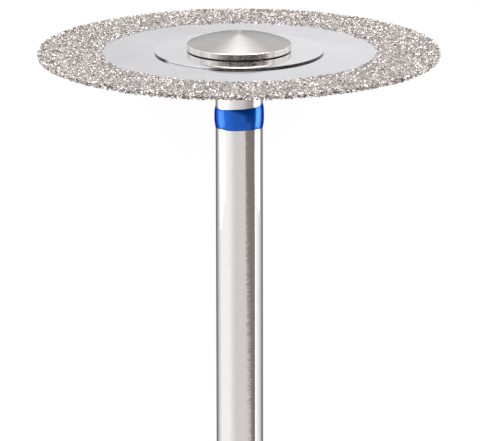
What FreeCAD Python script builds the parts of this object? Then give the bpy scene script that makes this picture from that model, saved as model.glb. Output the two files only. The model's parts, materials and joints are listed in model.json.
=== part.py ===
import FreeCAD, Part
import math
import os

# A dental diamond disc on its mandrel, in millimetres. The pieces are turned about one
# axis, then laid down together as they come to rest: on the disc's rim and the shank's end.

# Shank
overall_length = 44.5
shank_diameter = 2.35
shank_end_chamfer = 0.3

# Flange that carries the disc, turned in one piece with the shank
flange_diameter = 5.2
flange_thickness = 0.7
flange_edge_chamfer = 0.1
flange_taper_height = 0.7

# Spigot that passes through the disc and grips the cap
spigot_diameter = 1.6
spigot_grip_in_cap = 0.46
spigot_tip_chamfer = 0.08

# Steel blank and the two thin washers that clamp it
blank_thickness = 0.12
washer_diameter = 8.4
washer_thickness = 0.09
washer_edge_chamfer = 0.02
bore_clearance = 0.02

# Diamond coating, bonded to both faces and the rim of the blank
disc_diameter = 20.0
coating_inner_diameter = 13.55
coating_thickness = 0.08
coating_border_slope = 0.05
rim_chamfer = 0.09

# Domed cap
cap_diameter = 5.16
cap_side_height = 0.34
cap_dome_height = 0.52
cap_seat_chamfer = 0.04
cap_shoulder_radius = 0.07
cap_bore_end_gap = 0.04

# Lacquer ring on the shank that codes the grit
ring_below_flange = 2.47
ring_height = 1.1
ring_thickness = 0.06
ring_crown = 0.012
ring_edge_thickness = 0.015
ring_edge_slope = 0.15

# Radii that the pieces share
shank_radius = shank_diameter / 2
flange_radius = flange_diameter / 2
spigot_radius = spigot_diameter / 2
washer_radius = washer_diameter / 2
disc_radius = disc_diameter / 2
cap_radius = cap_diameter / 2
clear_bore_radius = spigot_radius + bore_clearance

# Heights of the stack above the shank's end, from the cap's top down
cap_shoulder = overall_length - cap_dome_height
cap_seat = cap_shoulder - cap_side_height
blank_top = cap_seat - washer_thickness
blank_underside = blank_top - blank_thickness
flange_seat = blank_underside - washer_thickness
flange_underside = flange_seat - flange_thickness
spigot_top = cap_seat + spigot_grip_in_cap
coating_top = blank_top + coating_thickness
coating_underside = blank_underside - coating_thickness
ring_top = flange_seat - ring_below_flange
ring_bottom = ring_top - ring_height


def at(radius, height):
    return FreeCAD.Vector(radius, 0, height)


def line(start, end):
    return Part.LineSegment(at(*start), at(*end)).toShape()


def lines(*points):
    return [line(start, end) for start, end in zip(points, points[1:])]


def arc(start, middle, end):
    return Part.Arc(at(*start), at(*middle), at(*end)).toShape()


def turned(edges):
    """Revolve a closed half profile, drawn as radius and height, about the axis."""
    face = Part.Face(Part.Wire(edges))
    return face.revolve(FreeCAD.Vector(0, 0, 0), FreeCAD.Vector(0, 0, 1), 360)


def make_mandrel():
    taper_bottom = flange_underside - flange_taper_height
    return turned(lines(
        (0, 0),
        (shank_radius - shank_end_chamfer, 0),
        (shank_radius, shank_end_chamfer),
        (shank_radius, taper_bottom),
        (flange_radius, flange_underside),
        (flange_radius, flange_seat - flange_edge_chamfer),
        (flange_radius - flange_edge_chamfer, flange_seat),
        (spigot_radius, flange_seat),
        (spigot_radius, spigot_top - spigot_tip_chamfer),
        (spigot_radius - spigot_tip_chamfer, spigot_top),
        (0, spigot_top),
        (0, 0)))


def make_washer(underside):
    top = underside + washer_thickness
    edge_radius = washer_radius - washer_edge_chamfer
    return turned(lines(
        (clear_bore_radius, underside),
        (edge_radius, underside),
        (washer_radius, underside + washer_edge_chamfer),
        (washer_radius, top - washer_edge_chamfer),
        (edge_radius, top),
        (clear_bore_radius, top),
        (clear_bore_radius, underside)))


def make_blank():
    blank_radius = disc_radius - coating_thickness
    return turned(lines(
        (clear_bore_radius, blank_underside),
        (blank_radius, blank_underside),
        (blank_radius, blank_top),
        (clear_bore_radius, blank_top),
        (clear_bore_radius, blank_underside)))


def make_coating():
    blank_radius = disc_radius - coating_thickness
    border = coating_inner_diameter / 2
    full_height_radius = border + coating_border_slope
    return turned(lines(
        (border, blank_top),
        (full_height_radius, coating_top),
        (disc_radius - rim_chamfer, coating_top),
        (disc_radius, coating_top - rim_chamfer),
        (disc_radius, coating_underside + rim_chamfer),
        (disc_radius - rim_chamfer, coating_underside),
        (full_height_radius, coating_underside),
        (border, blank_underside),
        (blank_radius, blank_underside),
        (blank_radius, blank_top),
        (border, blank_top)))


def dome_height_at(radius):
    """Height of the cap's spherical top at a distance from the axis."""
    sphere = (cap_radius ** 2 + cap_dome_height ** 2) / (2 * cap_dome_height)
    return overall_length - sphere + math.sqrt(sphere ** 2 - radius ** 2)


def make_cap():
    half_way = cap_radius / 2
    bore_end = spigot_top + cap_bore_end_gap
    edges = lines(
        (spigot_radius, cap_seat),
        (cap_radius - cap_seat_chamfer, cap_seat),
        (cap_radius, cap_seat + cap_seat_chamfer),
        (cap_radius, cap_shoulder))
    edges.append(arc((cap_radius, cap_shoulder), (half_way, dome_height_at(half_way)), (0, overall_length)))
    edges += lines((0, overall_length), (0, bore_end), (spigot_radius, bore_end), (spigot_radius, cap_seat))
    cap = turned(edges)
    shoulder = [edge for edge in cap.Edges if edge.Closed
                and abs(edge.CenterOfMass.z - cap_shoulder) < cap_shoulder_radius / 10
                and abs(edge.BoundBox.XMax - cap_radius) < cap_shoulder_radius]
    return cap.makeFillet(cap_shoulder_radius, shoulder)


def make_colour_ring():
    """A slightly crowned band of lacquer, thinner towards its two edges."""
    edge_radius = shank_radius + ring_edge_thickness
    crown_radius = shank_radius + ring_thickness
    shoulder_radius = crown_radius - ring_crown
    lower_shoulder = (shoulder_radius, ring_bottom + ring_edge_slope)
    upper_shoulder = (shoulder_radius, ring_top - ring_edge_slope)
    edges = lines(
        upper_shoulder,
        (edge_radius, ring_top),
        (shank_radius, ring_top),
        (shank_radius, ring_bottom),
        (edge_radius, ring_bottom),
        lower_shoulder)
    edges.append(arc(lower_shoulder, (crown_radius, (ring_top + ring_bottom) / 2), upper_shoulder))
    return turned(edges)


def resting_placement():
    """Lay the axis down until the shank's end and the disc's rim both touch the ground."""
    run = coating_underside + rim_chamfer - shank_end_chamfer
    rise = disc_radius - shank_radius
    lean = math.atan2(rise, run)
    sine = math.sin(lean)
    cosine = math.cos(lean)
    ground = shank_end_chamfer * sine - shank_radius * cosine
    back = -(shank_radius - shank_end_chamfer) * sine
    front = coating_top * cosine + (disc_radius - rim_chamfer) * sine
    turn = FreeCAD.Rotation(FreeCAD.Vector(1, 0, 0), math.degrees(lean) - 90)
    return FreeCAD.Placement(FreeCAD.Vector(0, -(back + front) / 2, -ground), turn)


pieces = {
    "mandrel": make_mandrel(),
    "lower_washer": make_washer(flange_seat),
    "disc_blank": make_blank(),
    "diamond_coating": make_coating(),
    "upper_washer": make_washer(blank_top),
    "domed_cap": make_cap(),
    "colour_ring": make_colour_ring(),
}

os.makedirs("parts", exist_ok=True)
at_rest = resting_placement()
for name, shape in pieces.items():
    shape.Placement = at_rest
    shape.exportStep(f"parts/{name}.step")
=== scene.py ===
import json
import math

import bmesh
import bpy
import numpy as np
from mathutils import Matrix, Vector


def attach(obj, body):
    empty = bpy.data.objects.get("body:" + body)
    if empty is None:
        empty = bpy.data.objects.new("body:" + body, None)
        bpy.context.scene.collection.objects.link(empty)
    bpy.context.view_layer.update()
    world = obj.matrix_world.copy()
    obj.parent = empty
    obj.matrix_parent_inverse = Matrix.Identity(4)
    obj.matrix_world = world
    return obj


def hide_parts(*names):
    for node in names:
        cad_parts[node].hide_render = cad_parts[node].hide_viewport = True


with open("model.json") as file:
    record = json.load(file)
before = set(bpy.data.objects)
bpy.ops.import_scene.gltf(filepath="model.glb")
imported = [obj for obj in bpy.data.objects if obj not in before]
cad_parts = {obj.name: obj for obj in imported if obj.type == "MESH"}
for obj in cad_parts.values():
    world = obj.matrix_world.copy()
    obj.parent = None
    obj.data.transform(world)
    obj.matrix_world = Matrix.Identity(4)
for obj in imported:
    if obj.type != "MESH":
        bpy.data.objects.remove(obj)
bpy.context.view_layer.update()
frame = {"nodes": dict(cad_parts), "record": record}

# A diamond-coated cutting disc on a steel mandrel, lying on its rim and the shank's end.
# The turned pieces share one axis; sizes are in metres, and a height is measured along
# that axis from the shank's end.

MM = 0.001
TOUCH = 0.001 * MM
FULL_TURN = 2 * math.pi
SHARP_ANGLE = math.radians(35)
WHITE = (1.0, 1.0, 1.0, 1)
draw = np.random.default_rng(20)

# Photograph's view
IMAGE_WIDTH = 480
SENSOR_WIDTH = 36.0
CAMERA_DISTANCE = 280 * MM
VIEW_ABOVE_DISC = math.radians(14.2)
PIXELS_PER_METRE = 20.05 / MM
AIM_BELOW_CAP = 8.71 * MM
AIM_ASIDE = 0.03 * MM
CAMERA_ROLL = math.radians(0.12)


# Sizes from the frame

def cad_points(node):
    return np.array([vertex.co for vertex in frame["nodes"][node].data.vertices])


shank = frame["record"]["mounts"][0]
axis = -np.array(shank["axis"])
axis /= np.linalg.norm(axis)
across = np.array((1.0, 0.0, 0.0))
front = np.cross(across, axis)
on_axis = np.array(shank["pos_m"])
foot = on_axis + axis * ((cad_points("mandrel") - on_axis) @ axis).min()
axis_turn = (math.atan2(axis[2], axis[1]) - math.pi / 2, 0, 0)


def radii_and_heights(node):
    offsets = cad_points(node) - foot
    heights = offsets @ axis
    return np.linalg.norm(offsets - np.outer(heights, axis), axis=1), heights


def height_range(node, radius=None):
    """Lowest and highest height of a node, or of its corners at one radius."""
    radii, heights = radii_and_heights(node)
    if radius is not None:
        heights = heights[abs(radii - radius) < TOUCH]
    return heights.min(), heights.max()


def radius_range(node, height=None):
    """Smallest and largest radius of a node, or of its corners at one height."""
    radii, heights = radii_and_heights(node)
    if height is not None:
        radii = radii[abs(heights - height) < TOUCH]
    return radii.min(), radii.max()


shank_radius = shank["dims"]["r_mm"] * MM
wall_bottom, wall_top = height_range("mandrel", shank_radius)
spigot_top = height_range("mandrel")[1]
flange_radius = radius_range("mandrel")[1]
flange_bottom, flange_edge = height_range("mandrel", flange_radius)
flange_seat = height_range("lower_washer")[0]
bore_radius, washer_radius = radius_range("upper_washer")
blank_bottom, blank_top = height_range("disc_blank")
blank_radius = radius_range("disc_blank")[1]
border_radius, disc_radius = radius_range("diamond_coating")
coating_bottom, coating_top = height_range("diamond_coating")
cap_seat, cap_top = height_range("domed_cap")
spigot_radius = radius_range("domed_cap", cap_seat)[0]
cap_radius = radius_range("domed_cap")[1]
ring_bottom, ring_top = height_range("colour_ring")
ring_radius = radius_range("colour_ring")[1]


# Meshes

def placed(radii, angles, heights):
    """Points in the frame. Angle 0 faces the camera and a quarter turn is to the right."""
    spread = np.broadcast_arrays(radii, angles, heights)
    radii, angles, heights = (np.asarray(values)[..., None] for values in spread)
    return foot + heights * axis + radii * (np.sin(angles) * across + np.cos(angles) * front)


def add_piece(name, points, faces, material, slot, *nodes):
    """A mesh that rides on the part and stands for its CAD nodes."""
    mesh = bpy.data.meshes.new(name)
    mesh.from_pydata(points.tolist(), [], faces)
    mesh.materials.append(material)
    piece = bpy.data.objects.new(name, mesh)
    bpy.context.scene.collection.objects.link(piece)
    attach(piece, "root")
    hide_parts(*nodes)
    return piece


def rounded(points, radii, steps=4):
    """A profile whose corners are rounded by the given radii, where 0 keeps a corner sharp.

    One more point beside each arc, a quarter of its radius away, keeps the flats' shading flat.
    """
    points = [np.array(point, float) for point in points]
    result = []
    for index, (corner, radius) in enumerate(zip(points, radii)):
        if not radius:
            result.append(corner)
            continue
        before = points[index - 1] - corner
        after = points[(index + 1) % len(points)] - corner
        before /= np.linalg.norm(before)
        after /= np.linalg.norm(after)
        half = math.acos(np.clip(before @ after, -1, 1)) / 2
        bisector = (before + after) / np.linalg.norm(before + after)
        centre = corner + bisector * radius / math.sin(half)
        start = corner + before * radius / math.tan(half) - centre
        end = corner + after * radius / math.tan(half) - centre
        sweep = math.pi - 2 * half
        result.append(centre + start + before * radius / 4)
        for share in np.linspace(0, 1, steps + 1):
            blend = (math.sin((1 - share) * sweep) * start + math.sin(share * sweep) * end) / math.sin(sweep)
            result.append(centre + blend)
        result.append(centre + end + after * radius / 4)
    return np.array(result)


def weld_and_smooth(data):
    """Joins the points on the axis, turns the faces outward and smooths all but sharp edges."""
    mesh = bmesh.new()
    mesh.from_mesh(data)
    bmesh.ops.remove_doubles(mesh, verts=mesh.verts, dist=TOUCH / 10)
    bmesh.ops.recalc_face_normals(mesh, faces=mesh.faces)
    mesh.to_mesh(data)
    mesh.free()
    data.shade_smooth()
    data.set_sharp_from_angle(angle=SHARP_ANGLE)


def turned(name, profile, material, slot, *nodes, segments=192, shift=None):
    """Revolve a closed profile of (radius, height). shift(angles, profile) may move its points."""
    angles = np.arange(segments) * FULL_TURN / segments
    section = np.tile(profile, (segments, 1, 1))
    if shift is not None:
        section = section + shift(angles[:, None], profile[None])
    points = placed(section[..., 0], angles[:, None], section[..., 1]).reshape(-1, 3)
    count = len(profile)
    faces = []
    for turn in range(segments):
        here = turn * count
        there = (turn + 1) % segments * count
        for low in range(count):
            high = (low + 1) % count
            if profile[low][0] < TOUCH and profile[high][0] < TOUCH:
                continue
            faces.append([here + low, there + low, there + high, here + high])
    piece = add_piece(name, points, faces, material, slot, *nodes)
    weld_and_smooth(piece.data)


# Materials

class Nodes:
    """Short calls for a node tree's nodes: a value sets a socket and a socket is linked."""

    def __init__(self, tree):
        self.tree = tree

    def node(self, kind, inputs=(), **settings):
        made = self.tree.nodes.new(kind)
        for setting, value in settings.items():
            setattr(made, setting, value)
        for socket, value in dict(inputs).items():
            if isinstance(value, bpy.types.NodeSocket):
                self.tree.links.new(value, made.inputs[socket])
            else:
                made.inputs[socket].default_value = value
        return made

    def math(self, operation, first, second=0.0, clamp=False):
        inputs = {0: first, 1: second}
        return self.node("ShaderNodeMath", inputs, operation=operation, use_clamp=clamp).outputs[0]

    def vector(self, operation, first, second=(0, 0, 0), output="Vector"):
        return self.node("ShaderNodeVectorMath", {0: first, 1: second}, operation=operation).outputs[output]

    def step(self, value, start, end):
        """0 up to start, 1 past end and a smooth change between. Start may be the larger one."""
        inputs = {"Value": value, "From Min": start, "From Max": end}
        return self.node("ShaderNodeMapRange", inputs, interpolation_type="SMOOTHSTEP").outputs["Result"]

    def ramp(self, value, start, end, first, last):
        """Straight from the first result at start to the last at end, and level outside."""
        inputs = {"Value": value, "From Min": start, "From Max": end, "To Min": first, "To Max": last}
        return self.node("ShaderNodeMapRange", inputs).outputs["Result"]

    def between(self, value, rise, fall):
        """1 between two smooth edges, each given as where it starts and where it ends."""
        return self.math("SUBTRACT", self.step(value, *rise), self.step(value, *fall), clamp=True)

    def mix(self, share, first, second):
        """From the first colour to the second."""
        return self.node("ShaderNodeMix", {0: share, 6: first, 7: second}, data_type="RGBA").outputs[2]

    def blend(self, share, first, second):
        """From the first number to the second."""
        return self.node("ShaderNodeMix", {0: share, 2: first, 3: second}, data_type="FLOAT").outputs[0]

    def noise(self, vector, scale=1.0, detail=2.0, roughness=0.5):
        inputs = {"Vector": vector, "Scale": scale, "Detail": detail, "Roughness": roughness}
        return self.node("ShaderNodeTexNoise", inputs).outputs["Fac"]

    def bump(self, height, distance):
        """A relief that is this far out, in metres, where the height is 1."""
        return self.node("ShaderNodeBump", {"Height": height, "Distance": distance}).outputs["Normal"]

    def seen_or_mirrored(self):
        """1 for what is seen straight, in a mirror or through glass, and 0 for what only lights."""
        rays = self.node("ShaderNodeLightPath").outputs
        seen = self.math("ADD", rays["Is Camera Ray"], rays["Is Glossy Ray"])
        return self.math("ADD", seen, rays["Is Transmission Ray"], clamp=True)


class Finish(Nodes):
    """A material on one Principled BSDF."""

    def __init__(self, name, colour, **sockets):
        self.material = bpy.data.materials.new(name)
        self.material.use_nodes = True
        super().__init__(self.material.node_tree)
        self.surface = self.tree.nodes["Principled BSDF"]
        self.surface.inputs["Base Color"].default_value = (*colour, 1)
        for socket, value in sockets.items():
            self.surface.inputs[socket.replace("_", " ")].default_value = value

    def link(self, socket, output):
        self.tree.links.new(output, self.surface.inputs[socket])

    def in_millimetres(self):
        """Coordinates in the frame of the axis: right, away from the camera, and along the axis."""
        place = self.node("ShaderNodeTexCoord").outputs["Object"]
        inputs = {"Vector": place, "Location": foot, "Rotation": axis_turn, "Scale": (MM, MM, MM)}
        return self.node("ShaderNodeMapping", inputs, vector_type="TEXTURE").outputs["Vector"]

    def coordinate(self, letter):
        """One of those coordinates: X to the right, Y away from the camera or Z along the axis."""
        return self.node("ShaderNodeSeparateXYZ", {0: self.in_millimetres()}).outputs[letter]

    def outward(self):
        """Direction away from the axis, in world coordinates."""
        flat = self.vector("MULTIPLY", self.in_millimetres(), (1, 1, 0))
        inputs = {"Vector": flat, "Rotation": axis_turn}
        return self.node("ShaderNodeMapping", inputs, vector_type="NORMAL").outputs[0]

    def side_wall(self):
        """1 on walls that stand along the axis and 0 on faces across it."""
        normal = self.node("ShaderNodeNewGeometry").outputs["Normal"]
        slope = self.math("ABSOLUTE", self.vector("DOT_PRODUCT", normal, tuple(axis), output="Value"))
        return self.step(slope, 0.75, 0.45)

    def facing(self):
        """0 where the surface is seen head-on and 1 where it is seen edge-on."""
        return self.node("ShaderNodeLayerWeight", {"Blend": 0.5}).outputs["Facing"]

    def painted_dark_rim(self, colour, start, end, share):
        """Painted shade: darkens the colour where the surface is seen edge-on, where a bare mirror would
        only show the white floor.
        """
        amount = self.math("MULTIPLY", self.step(self.facing(), start, end), share)
        return self.mix(amount, colour, (0, 0, 0, 1))

    def in_turns(self, around, along):
        """Coordinates that run round the axis and along the turned surface, with no seam."""
        parts = self.node("ShaderNodeSeparateXYZ", {0: self.in_millimetres()}).outputs
        flat = self.node("ShaderNodeCombineXYZ", {"X": parts["X"], "Y": parts["Y"]}).outputs[0]
        radius = self.vector("LENGTH", flat, output="Value")
        side = self.vector("MULTIPLY", self.vector("NORMALIZE", flat), (around, around, 0))
        run = self.math("MULTIPLY", self.math("ADD", radius, parts["Z"]), along)
        lift = self.node("ShaderNodeCombineXYZ", {"Z": run}).outputs[0]
        return self.vector("ADD", side, lift)


def ground_steel():
    """Centreless-ground shank: mirror-like, with very fine marks round it, and satin above the ring."""
    steel = Finish("ground_steel", (0.86, 0.85, 0.84), Metallic=1.0, Anisotropic=0.3,
                   Specular_Tint=(0.3, 0.3, 0.3, 1))
    marks = steel.noise(steel.in_turns(around=1.6, along=14.0), detail=3.0, roughness=0.65)
    streaks = steel.noise(steel.in_turns(around=3.0, along=3.0), detail=4.0, roughness=0.6)
    relief = steel.math("ADD", steel.math("MULTIPLY", marks, 0.25), streaks)
    steel.link("Normal", steel.bump(relief, 0.003 * MM))
    ring_end = ring_top / MM
    neck = steel.step(steel.coordinate("Z"), ring_end - 0.2, ring_end + 0.1)
    steel.link("Roughness", steel.blend(neck, steel.blend(marks, 0.04, 0.1), 0.32))
    tone = steel.mix(streaks, (0.84, 0.83, 0.82, 1), (0.92, 0.91, 0.9, 1))
    tone = steel.mix(neck, tone, (1.0, 0.97, 0.96, 1))
    # Painted shade: the shank's colour darkens towards its edges as the camera sees them.
    steel.link("Base Color", steel.painted_dark_rim(tone, 0.3, 0.8, 0.65))
    steel.link("Tangent", steel.node("ShaderNodeCombineXYZ", {"Y": axis[1], "Z": axis[2]}).outputs[0])
    return steel.material


def polished_steel(name, colour):
    """Lapped sheet: a clear mirror with faint rings and haze, and painted shade that makes it a little
    duller to the left.

    Its cut edge is painted dark as painted shade, but for one stretch painted white as a painted highlight.
    """
    steel = Finish(name, colour, Metallic=1.0, Roughness=0.05)
    rings = steel.noise(steel.in_turns(around=0.8, along=9.0), detail=3.0, roughness=0.6)
    haze = steel.noise(steel.in_millimetres(), scale=0.3, detail=3.0)
    sideways = steel.coordinate("X")
    # Painted shade: the mirror is made darker towards the left and lighter towards the right.
    painted_shade_ramp = steel.ramp(sideways, -6.0, 6.0, -0.35, 0.35)
    dull_and_shaded_colour = tuple(0.7 * part for part in colour)
    haze_and_painted_shade = steel.math("ADD", haze, painted_shade_ramp, clamp=True)
    tone = steel.mix(haze_and_painted_shade, (*dull_and_shaded_colour, 1), (*colour, 1))
    # Painted highlight: one stretch of the cut edge is painted white, and the rest of the edge is painted
    # dark as painted shade.
    painted_highlight_stretch = steel.between(sideways, (-3.7, -3.4), (-1.8, -0.9))
    edge = steel.mix(painted_highlight_stretch, (0.06, 0.055, 0.05, 1), WHITE)
    steel.link("Base Color", steel.mix(steel.side_wall(), tone, edge))
    steel.link("Roughness", steel.blend(rings, 0.03, 0.11))
    steel.link("Normal", steel.bump(rings, 0.0003 * MM))
    return steel.material


def faced_steel():
    """Cap with fine facing rings on its dome, which fan out the light, a side painted brighter as a painted
    highlight, and painted shade at its seat and edges.
    """
    steel = Finish("faced_steel", (0.5, 0.48, 0.46), Metallic=1.0, Anisotropic=0.8)
    rings = steel.noise(steel.in_turns(around=0.7, along=30.0), detail=4.0, roughness=0.7)
    streaks = steel.noise(steel.in_turns(around=9.0, along=0.6), detail=3.0, roughness=0.6)
    side = steel.side_wall()
    dome_tone = steel.mix(rings, (0.41, 0.39, 0.38, 1), (0.56, 0.54, 0.525, 1))
    # Painted highlight: the side gets a much brighter colour than the dome of the same steel.
    painted_bright_side_tone = steel.mix(steel.step(streaks, 0.35, 0.65), (0.84, 0.8, 0.75, 1), (1.0, 0.97, 0.94, 1))
    tone = steel.mix(side, dome_tone, painted_bright_side_tone)
    # Painted shade: a thin near-black band at the foot of the side, where the cap meets the washer.
    seat = cap_seat / MM
    painted_seat_shade = steel.step(steel.coordinate("Z"), seat + 0.06, seat + 0.04)
    tone = steel.mix(painted_seat_shade, tone, (0.02, 0.015, 0.015, 1))
    # Painted shade: the cap's colour darkens towards its edges as the camera sees them.
    steel.link("Base Color", steel.painted_dark_rim(tone, 0.62, 1.0, 0.65))
    steel.link("Roughness", steel.blend(side, 0.45, steel.blend(streaks, 0.1, 0.22)))
    steel.link("Normal", steel.bump(rings, 0.001 * MM))
    steel.link("Tangent", steel.vector("ADD", steel.outward(), tuple(0.3 * axis)))
    return steel.material


def nickel_bond():
    """Electroplated nickel that holds the grains, with a fine nodular surface."""
    nickel = Finish("nickel_bond", (0.42, 0.4, 0.38), Metallic=0.6, Roughness=0.42)
    place = nickel.in_millimetres()
    nodules = nickel.node("ShaderNodeTexVoronoi", {"Vector": place, "Scale": 14.0}).outputs["Distance"]
    cloud = nickel.noise(place, scale=5.0, detail=3.0)
    nickel.link("Normal", nickel.bump(nickel.math("ADD", nodules, cloud), 0.02 * MM))
    tone = nickel.mix(nickel.step(cloud, 0.4, 0.6), (0.2, 0.19, 0.18, 1), (0.58, 0.545, 0.52, 1))
    nickel.link("Base Color", tone)
    return nickel.material


def plated_grain():
    """Diamond grains under a thin skin of nickel, each a little lighter or darker."""
    grain = Finish("plated_grain", (0.7, 0.67, 0.65), Metallic=0.8, Roughness=0.3)
    place = grain.in_millimetres()
    shade = grain.noise(place, scale=5.5, detail=3.0, roughness=0.7)
    tint = grain.noise(place, scale=3.0)
    pale = grain.mix(grain.step(tint, 0.4, 0.6), (0.59, 0.54, 0.5, 1), (0.57, 0.52, 0.54, 1))
    tone = grain.mix(grain.step(shade, 0.4, 0.56), (0.17, 0.155, 0.145, 1), pale)
    grain.link("Base Color", tone)
    grain.link("Roughness", grain.blend(shade, 0.3, 0.5))
    return grain.material


def blue_lacquer():
    """Baked lacquer over steel, with painted shade where it is seen edge-on, and a clear skin that fades
    there.
    """
    lacquer = Finish("blue_lacquer", (0.0, 0.12, 0.62), Metallic=0.75, Roughness=0.2, Coat_Roughness=0.12,
                     Specular_IOR_Level=0.0, Specular_Tint=(0.0, 0.2, 0.6, 1))
    flow = lacquer.noise(lacquer.in_millimetres(), scale=2.5)
    tone = lacquer.mix(flow, (0.0, 0.095, 0.54, 1), (0.0, 0.135, 0.66, 1))
    # Painted shade: the lacquer's colour darkens towards its edges as the camera sees them.
    lacquer.link("Base Color", lacquer.painted_dark_rim(tone, 0.47, 0.8, 0.75))
    lacquer.link("Coat Weight", lacquer.ramp(lacquer.facing(), 0.4, 0.65, 0.6, 0.0))
    lacquer.link("Normal", lacquer.bump(flow, 0.01 * MM))
    return lacquer.material


ground = ground_steel()
mirror = polished_steel("lapped_blank", (0.615, 0.612, 0.655))
washer_mirror = polished_steel("lapped_washer", (0.665, 0.658, 0.68))
faced = faced_steel()
bond = nickel_bond()
plated = plated_grain()
lacquer = blue_lacquer()


# Turned pieces

def mandrel_profile():
    """Shank, conical shoulder, flange and spigot in one outline, with its edges broken."""
    edge = 0.05 * MM
    end_chamfer = wall_bottom
    flange_chamfer = flange_seat - flange_edge
    points = [
        (0, 0),
        (shank_radius - end_chamfer, 0),
        (shank_radius, wall_bottom),
        (shank_radius, wall_top),
        (flange_radius, flange_bottom),
        (flange_radius, flange_edge),
        (flange_radius - flange_chamfer, flange_seat),
        (spigot_radius, flange_seat),
        (spigot_radius, spigot_top),
        (0, spigot_top)]
    return rounded(points, [0, edge, edge, 3 * edge, edge, edge / 2, edge / 2, 0, edge, 0])


def washer_profile(underside, top):
    edge = 0.018 * MM
    points = [(bore_radius, underside), (washer_radius, underside), (washer_radius, top), (bore_radius, top)]
    return rounded(points, [0, edge, edge, 0])


def cap_profile():
    """A short cylinder under a spherical dome, with a soft shoulder.

    The dome's first points give way to the shoulder's rounding.
    """
    dome_height = 0.52 * MM
    seat_edge = 0.03 * MM
    shoulder_edge = 0.05 * MM
    shoulder = cap_top - dome_height
    sphere = (cap_radius ** 2 + dome_height ** 2) / (2 * dome_height)
    widest = math.asin(cap_radius / sphere)
    dome = [(sphere * math.sin(angle), cap_top - sphere + sphere * math.cos(angle))
            for angle in np.linspace(widest, 0, 40)[3:]]
    points = [(spigot_radius, cap_seat), (cap_radius, cap_seat), (cap_radius, shoulder)] + dome
    points += [(0, spigot_top), (spigot_radius, spigot_top)]
    return rounded(points, [0, seat_edge, shoulder_edge] + [0] * (len(points) - 3))


def ring_profile():
    """A band of lacquer, drawn up by its own tension into one smooth crown."""
    inner = shank_radius - 0.01 * MM
    film = 0.008 * MM
    fullness = 2.6
    edge_radius = shank_radius + film
    crown = [(edge_radius + (ring_radius - shank_radius - film) * (1 - abs(place) ** fullness),
              ring_bottom + (ring_top - ring_bottom) * (1 + place) / 2) for place in np.linspace(-1, 1, 25)]
    return np.array([(inner, ring_bottom)] + crown + [(inner, ring_top)])


def uneven_edges(angles, profile):
    """The lacquer's two edges wander a little, as a brushed band's do."""
    upper = 0.085 * np.sin(angles) + 0.012 * np.sin(4 * angles + 2.1)
    lower = 0.012 * np.sin(2 * angles + 1.3) + 0.008 * np.sin(5 * angles)
    height = (profile[..., 1] - ring_bottom) / (ring_top - ring_bottom)
    moved = (upper * height ** 3 + lower * (1 - height) ** 3) * MM
    return np.stack([np.zeros_like(moved), moved], axis=-1)


def bond_profile():
    """The nickel layer on both faces and round the rim, lower than the grains' tips."""
    depth = 0.2 * (coating_top - blank_top)
    slope = 0.08 * MM
    rim = disc_radius - 0.06 * MM
    points = [
        (border_radius, blank_top),
        (border_radius + slope, blank_top + depth),
        (rim, blank_top + depth),
        (rim, blank_bottom - depth),
        (border_radius + slope, blank_bottom - depth),
        (border_radius, blank_bottom),
        (blank_radius, blank_bottom),
        (blank_radius, blank_top)]
    return rounded(points, [0, slope / 2, slope, slope, slope / 2, 0, 0, 0])


lower_washer = washer_profile(flange_seat, blank_bottom)
upper_washer = washer_profile(blank_top, cap_seat)
turned("mandrel_turned", mandrel_profile(), ground, "mandrel_steel", "mandrel")
turned("washer_lower", lower_washer, washer_mirror, "washer_steel", "lower_washer")
turned("washer_upper", upper_washer, washer_mirror, "washer_steel", "upper_washer")
turned("cap_domed", cap_profile(), faced, "cap_steel", "domed_cap", segments=256)
turned("ring_lacquer", ring_profile(), lacquer, "blue_lacquer", "colour_ring", shift=uneven_edges)
turned("bond_layer", bond_profile(), bond, "diamond_grit", "diamond_coating", segments=360)
blank = frame["nodes"]["disc_blank"]
blank.data.materials.clear()
blank.data.materials.append(mirror)


# Diamond grains
# The half widths and the tip's height above the centre are shares of a grain's width, the
# jitter is a share of the spacing, and the tip shares are of the coating's height.

GRAIN_SHAPES = 24
GRAIN_CORNERS = 10
GRAIN_HALF_WIDTHS = (0.38, 0.56)
GRAIN_WIDTHS = (0.12 * MM, 0.2 * MM)
GRAIN_SPACING = 0.165 * MM
JITTER = 0.42
BORDER_SETBACK = 0.02 * MM
BORDER_WANDER = 0.09 * MM
OUTER_SETBACK = 0.05 * MM
TIP_SHARES = (0.7, 1.08)
TIP_ABOVE_CENTRE = 0.46
RIM_CROWDING = 5
RIM_INSET = 0.04 * MM


def grain_shape():
    """A blocky crystal of unit width: the hull of points spread over a rough ellipsoid."""
    points = draw.normal(size=(GRAIN_CORNERS, 3))
    points /= np.linalg.norm(points, axis=1)[:, None]
    points *= draw.uniform(*GRAIN_HALF_WIDTHS, size=3)
    hull = bmesh.new()
    for point in points:
        hull.verts.new(point)
    bmesh.ops.convex_hull(hull, input=hull.verts)
    loose = [vertex for vertex in hull.verts if not vertex.link_faces]
    bmesh.ops.delete(hull, geom=loose, context="VERTS")
    hull.verts.index_update()
    shape = (np.array([vertex.co for vertex in hull.verts]),
             np.array([[vertex.index for vertex in face.verts] for face in hull.faces]))
    hull.free()
    return shape


def random_turns(count):
    """Random rotation matrices, from random unit quaternions."""
    w, x, y, z = draw.normal(size=(4, count))
    length = np.sqrt(w * w + x * x + y * y + z * z)
    w, x, y, z = w / length, x / length, y / length, z / length
    rows = [[1 - 2 * (y * y + z * z), 2 * (x * y - z * w), 2 * (x * z + y * w)],
            [2 * (x * y + z * w), 1 - 2 * (x * x + z * z), 2 * (y * z - x * w)],
            [2 * (x * z - y * w), 2 * (y * z + x * w), 1 - 2 * (x * x + y * y)]]
    return np.moveaxis(np.array(rows), 2, 0)


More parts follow.
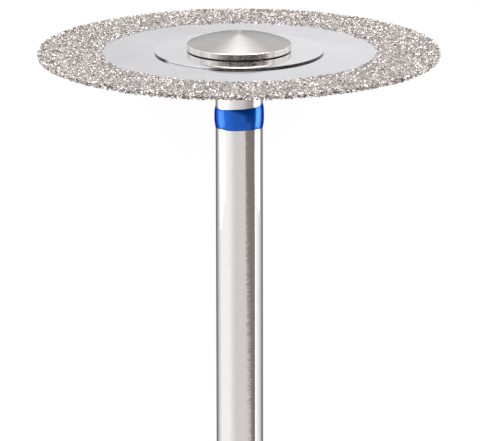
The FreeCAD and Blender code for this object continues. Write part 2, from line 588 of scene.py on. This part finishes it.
def face_spots():
    """Grain places on one face, as radii and angles: a jittered triangular grid."""
    rows = np.arange(-disc_radius, disc_radius, GRAIN_SPACING * math.sqrt(3) / 2)
    columns = np.arange(-disc_radius, disc_radius, GRAIN_SPACING)
    x, y = np.meshgrid(columns, rows)
    x[::2] += GRAIN_SPACING / 2
    x = (x + draw.uniform(-JITTER, JITTER, x.shape) * GRAIN_SPACING).ravel()
    y = (y + draw.uniform(-JITTER, JITTER, y.shape) * GRAIN_SPACING).ravel()
    radii = np.hypot(x, y)
    angles = np.arctan2(x, y)
    border = border_radius + BORDER_SETBACK + BORDER_WANDER * draw.uniform(-0.7, 1, radii.shape)
    kept = (radii > border) & (radii < disc_radius - OUTER_SETBACK)
    return radii[kept], angles[kept]


def grains(name, radii, angles, heights, widths):
    """Crystals of the drawn shapes, each turned at random, in one mesh."""
    count = len(radii)
    centres = placed(radii, angles, heights)
    turns = random_turns(count)
    kinds = draw.integers(0, GRAIN_SHAPES, count)
    points = []
    faces = []
    used = 0
    for kind, (corners, sides) in enumerate(shapes):
        chosen = np.flatnonzero(kinds == kind)
        moved = np.einsum("nij,kj->nki", turns[chosen], corners)
        moved = moved * widths[chosen, None, None] + centres[chosen, None]
        points.append(moved.reshape(-1, 3))
        starts = used + np.arange(len(chosen)) * len(corners)
        faces += (sides[None] + starts[:, None, None]).reshape(-1, 3).tolist()
        used += moved.shape[0] * moved.shape[1]
    add_piece(name, np.concatenate(points), faces, plated, "diamond_grit", "diamond_coating")


def face_grains(name, surface, outward):
    """Grains on one face, whose tips reach about the coating's height."""
    radii, angles = face_spots()
    widths = draw.uniform(*GRAIN_WIDTHS, len(radii))
    tips = draw.uniform(*TIP_SHARES, len(radii)) * (coating_top - blank_top)
    grains(name, radii, angles, surface + outward * (tips - widths * TIP_ABOVE_CENTRE), widths)


def rim_grains(name):
    """Grains round the rim, crowded so that no bare band shows between the faces."""
    area = FULL_TURN * disc_radius * (coating_top - coating_bottom)
    count = int(area / GRAIN_SPACING ** 2 * RIM_CROWDING)
    widths = draw.uniform(*GRAIN_WIDTHS, count)
    heights = draw.uniform(coating_bottom + RIM_INSET, coating_top - RIM_INSET, count)
    radii = disc_radius - widths * 0.5 + draw.uniform(-0.02, 0.0, count) * MM
    angles = draw.uniform(0, FULL_TURN, count)
    grains(name, radii, angles, heights, widths)


shapes = [grain_shape() for kind in range(GRAIN_SHAPES)]
face_grains("grains_upper", blank_top, 1)
face_grains("grains_lower", blank_bottom, -1)
rim_grains("grains_rim")


# Floor, light and camera

def floor_material():
    """Matt and pale under the lamps, and mostly a steady white where it is seen."""
    material = bpy.data.materials.new("pale_floor")
    material.use_nodes = True
    nodes = Nodes(material.node_tree)
    nodes.tree.nodes.clear()
    matt = nodes.node("ShaderNodeBsdfDiffuse", {"Color": (0.9, 0.9, 0.9, 1)}).outputs[0]
    glow = nodes.node("ShaderNodeEmission", {"Color": WHITE, "Strength": 1.12}).outputs[0]
    share = nodes.math("MULTIPLY", nodes.seen_or_mirrored(), 0.72)
    shader = nodes.node("ShaderNodeMixShader", {0: share, 1: matt, 2: glow}).outputs[0]
    nodes.node("ShaderNodeOutputMaterial", {"Surface": shader})
    return material


def make_floor():
    """A pale floor that shows white with a faint shadow."""
    half = 1.5
    corners = [(-half, -half, 0), (half, -half, 0), (half, half, 0), (-half, half, 0)]
    mesh = bpy.data.meshes.new("floor")
    mesh.from_pydata(corners, [], [(0, 1, 2, 3)])
    mesh.materials.append(floor_material())
    floor = bpy.data.objects.new("floor", mesh)
    bpy.context.scene.collection.objects.link(floor)


class Studio(Nodes):
    """The world's screens, placed by angles in degrees about the disc's axis.

    Azimuth is 0 in front and 90 to the right, and elevation is 0 in the disc's plane. over_top
    is 90 along the axis and 180 in front.
    """

    def __init__(self, tree):
        super().__init__(tree)
        self.tree.nodes.clear()
        direction = self.node("ShaderNodeTexCoord").outputs["Generated"]
        sides = (across, front, axis)
        self.right, forward, upward = (
            self.vector("DOT_PRODUCT", direction, tuple(side), output="Value") for side in sides)
        backward = self.math("MULTIPLY", forward, -1)
        self.azimuth = self.in_degrees(self.math("ARCTAN2", self.right, forward))
        self.elevation = self.in_degrees(self.math("ARCSINE", upward))
        self.over_top = self.in_degrees(self.math("ARCTAN2", upward, backward))

    def in_degrees(self, angle):
        return self.math("MULTIPLY", angle, 180 / math.pi)

    def soft_edge(self, middle, softness):
        """Where a smooth edge starts and where it ends."""
        return self.math("SUBTRACT", middle, softness), self.math("ADD", middle, softness)

    def screen(self, behind, left, right, bottom, top, radiance):
        """A screen with four soft edges, in front of what is behind it."""
        width = self.between(self.azimuth, left, right)
        height = self.between(self.elevation, bottom, top)
        return self.mix(self.math("MULTIPLY", width, height), behind, (*radiance, 1))

    def stripe_edge(self):
        """The brown screen's left edge, which bends right low down and narrows the shank's dark stripe."""
        slant = self.ramp(self.elevation, -13.0, -16.5, 0, 1)
        bend = self.ramp(self.math("MULTIPLY", slant, slant), 0, 1, 29.5, 59.5)
        return self.soft_edge(bend, 3)


def make_world():
    """A white studio with a grey, a brown and a black screen, a bright edge and a lit strip overhead."""
    world = bpy.data.worlds.new("studio")
    bpy.context.scene.world = world
    world.use_nodes = True
    studio = Studio(world.node_tree)
    grey = (0.7, 0.68, 0.68)
    brown = (0.235, 0.2, 0.18)
    black = (0.04, 0.03, 0.025)
    bright = (2.2, 2.2, 2.2)
    right_edge = (80, 85)
    floor_edge = (-80, -70)
    ceiling_edge = (70, 80)
    slanting_edge = studio.soft_edge(studio.ramp(studio.azimuth, -40, 50, 9, -9), 1.5)
    fading_edge = studio.soft_edge(82.5, studio.ramp(studio.elevation, 0, 12, 2, 12))
    view = studio.screen(WHITE, (-60, -14), right_edge, floor_edge, ceiling_edge, grey)
    view = studio.screen(view, studio.stripe_edge(), right_edge, floor_edge, ceiling_edge, brown)
    view = studio.screen(view, (-64, -28), fading_edge, slanting_edge, (20, 26), black)
    view = studio.screen(view, (82, 86), (100, 106), (-30, -25), (-4, 6), bright)
    strip_depth = studio.between(studio.over_top, (118, 124), (140, 148))
    strip_width = studio.between(studio.right, (-1.0, -0.25), (0.45, 1.1))
    view = studio.mix(studio.math("MULTIPLY", strip_depth, strip_width), view, (11.0, 10.8, 10.6, 1))
    colour = studio.mix(studio.seen_or_mirrored(), (0.8, 0.8, 0.8, 1), view)
    shader = studio.node("ShaderNodeBackground", {"Color": colour, "Strength": 1.0}).outputs[0]
    studio.node("ShaderNodeOutputWorld", {"Surface": shader})


def add_lamp(name, place, size, power):
    """A square soft lamp, placed from the disc's hub in metres, which it faces."""
    lamp = bpy.data.lights.new(name, "AREA")
    lamp.size = size
    lamp.energy = power
    holder = bpy.data.objects.new(name, lamp)
    hub = foot + axis * cap_seat
    holder.location = Vector(hub) + Vector(place)
    holder.rotation_euler = (-Vector(place)).to_track_quat("-Z", "Y").to_euler()
    bpy.context.scene.collection.objects.link(holder)


def make_lamps():
    """Two soft lamps, and a small card on each side of the shank, which the colour ring mirrors."""
    add_lamp("top_lamp", (0.0, 0.5, 0.18), 0.25, 0.8)
    add_lamp("side_lamp", (0.35, 0.35, 0.25), 0.3, 0.4)
    add_lamp("left_card", (-0.02, -0.0065, -0.0015), 0.012, 0.0009)
    add_lamp("right_card", (0.02, -0.0065, -0.0045), 0.01, 0.001)


def make_camera():
    """The photograph's view: just above the disc's plane, from the front."""
    camera_data = bpy.data.cameras.new("camera")
    camera_data.sensor_width = SENSOR_WIDTH
    camera_data.lens = PIXELS_PER_METRE * CAMERA_DISTANCE * SENSOR_WIDTH / IMAGE_WIDTH
    camera_data.clip_start = 0.01
    camera_data.clip_end = 5.0
    camera = bpy.data.objects.new("camera", camera_data)
    aim = foot + axis * (cap_seat - AIM_BELOW_CAP) + across * AIM_ASIDE
    backward = math.cos(VIEW_ABOVE_DISC) * front + math.sin(VIEW_ABOVE_DISC) * axis
    upward = np.cross(backward, across)
    right = math.cos(CAMERA_ROLL) * across - math.sin(CAMERA_ROLL) * upward
    upward = np.cross(backward, right)
    placing = Matrix((right, upward, backward)).transposed().to_4x4()
    placing.translation = Vector(aim + backward * CAMERA_DISTANCE)
    camera.matrix_world = placing
    bpy.context.scene.collection.objects.link(camera)
    bpy.context.scene.camera = camera


make_floor()
make_world()
make_lamps()
make_camera()
bpy.context.scene.view_settings.view_transform = "Standard"
